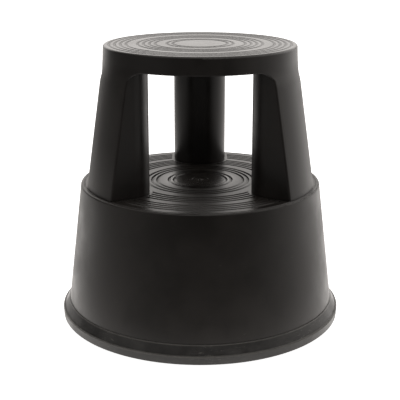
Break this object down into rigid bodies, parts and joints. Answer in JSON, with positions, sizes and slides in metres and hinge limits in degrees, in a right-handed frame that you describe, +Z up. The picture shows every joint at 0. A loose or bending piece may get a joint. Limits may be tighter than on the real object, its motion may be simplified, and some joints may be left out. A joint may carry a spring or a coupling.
{
  "type": "step stool",
  "caption": "Round two-step plastic stool: grooved top on hollow legs over a drum with a lower step, floor ring and hidden spring castors.",
  "frame": {"origin": "floor point under the stool's centre, at the bottom of the wheels", "axes": "+Z up along the axis of the round treads, -Y towards the open front between two legs, +Y towards the third leg"},
  "size_m": [0.4394, 0.4394, 0.43],
  "materials": {
    "shell_plastic": "satin",
    "ring_rubber": "satin",
    "black_nylon": "satin",
    "grey_tyre": "matte",
    "zinc_steel": "satin",
    "spring_steel": "satin"
  },
  "bodies": {
    "stool": {"upper_shell": "shell_plastic", "base_shell": "shell_plastic", "floor_ring": "ring_rubber", "leg_screws": "zinc_steel", "castor_housing_1": "black_nylon", "castor_housing_2": "black_nylon", "castor_housing_3": "black_nylon", "castor_screws_1": "zinc_steel", "castor_screws_2": "zinc_steel", "castor_screws_3": "zinc_steel", "castor_spring_1": "spring_steel", "castor_spring_2": "spring_steel", "castor_spring_3": "spring_steel"},
    "plunger_1": {"castor_stem_1": "zinc_steel", "stem_clip_1": "spring_steel", "spring_washer_1": "zinc_steel", "swivel_race_1": "zinc_steel"},
    "fork_1": {"castor_fork_1": "zinc_steel", "axle_1": "zinc_steel"},
    "wheel_1": {"wheel_hub_1": "black_nylon", "wheel_tyre_1": "grey_tyre"},
    "plunger_2": {"castor_stem_2": "zinc_steel", "stem_clip_2": "spring_steel", "spring_washer_2": "zinc_steel", "swivel_race_2": "zinc_steel"},
    "fork_2": {"castor_fork_2": "zinc_steel", "axle_2": "zinc_steel"},
    "wheel_2": {"wheel_hub_2": "black_nylon", "wheel_tyre_2": "grey_tyre"},
    "plunger_3": {"castor_stem_3": "zinc_steel", "stem_clip_3": "spring_steel", "spring_washer_3": "zinc_steel", "swivel_race_3": "zinc_steel"},
    "fork_3": {"castor_fork_3": "zinc_steel", "axle_3": "zinc_steel"},
    "wheel_3": {"wheel_hub_3": "black_nylon", "wheel_tyre_3": "grey_tyre"}
  },
  "joints": [
    {"name": "castor_plunge_1", "type": "slide", "parent": "stool", "child": "plunger_1", "axis": [0, 0, 1], "range_m": [0, 0.01], "stiffness_N_per_m": 2500, "springref_m": -0.014, "deforming": ["castor_spring_1"]},
    {"name": "castor_swivel_1", "type": "hinge", "parent": "plunger_1", "child": "fork_1", "pos_m": [0.1299, 0.075, 0.046], "axis": [0, 0, 1], "continuous": true},
    {"name": "wheel_roll_1", "type": "hinge", "parent": "fork_1", "child": "wheel_1", "pos_m": [0.1219, 0.08886, 0.02], "axis": [0.866, 0.5, 0], "continuous": true},
    {"name": "castor_plunge_2", "type": "slide", "parent": "stool", "child": "plunger_2", "axis": [0, 0, 1], "range_m": [0, 0.01], "stiffness_N_per_m": 2500, "springref_m": -0.014, "deforming": ["castor_spring_2"]},
    {"name": "castor_swivel_2", "type": "hinge", "parent": "plunger_2", "child": "fork_2", "pos_m": [-0.1299, 0.075, 0.046], "axis": [0, 0, 1], "continuous": true},
    {"name": "wheel_roll_2", "type": "hinge", "parent": "fork_2", "child": "wheel_2", "pos_m": [-0.1379, 0.06114, 0.02], "axis": [-0.866, 0.5, 0], "continuous": true},
    {"name": "castor_plunge_3", "type": "slide", "parent": "stool", "child": "plunger_3", "axis": [0, 0, 1], "range_m": [0, 0.01], "stiffness_N_per_m": 2500, "springref_m": -0.014, "deforming": ["castor_spring_3"]},
    {"name": "castor_swivel_3", "type": "hinge", "parent": "plunger_3", "child": "fork_3", "pos_m": [0, -0.15, 0.046], "axis": [0, 0, 1], "continuous": true},
    {"name": "wheel_roll_3", "type": "hinge", "parent": "fork_3", "child": "wheel_3", "pos_m": [0.016, -0.15, 0.02], "axis": [0, -1, 0], "continuous": true}
  ]
}
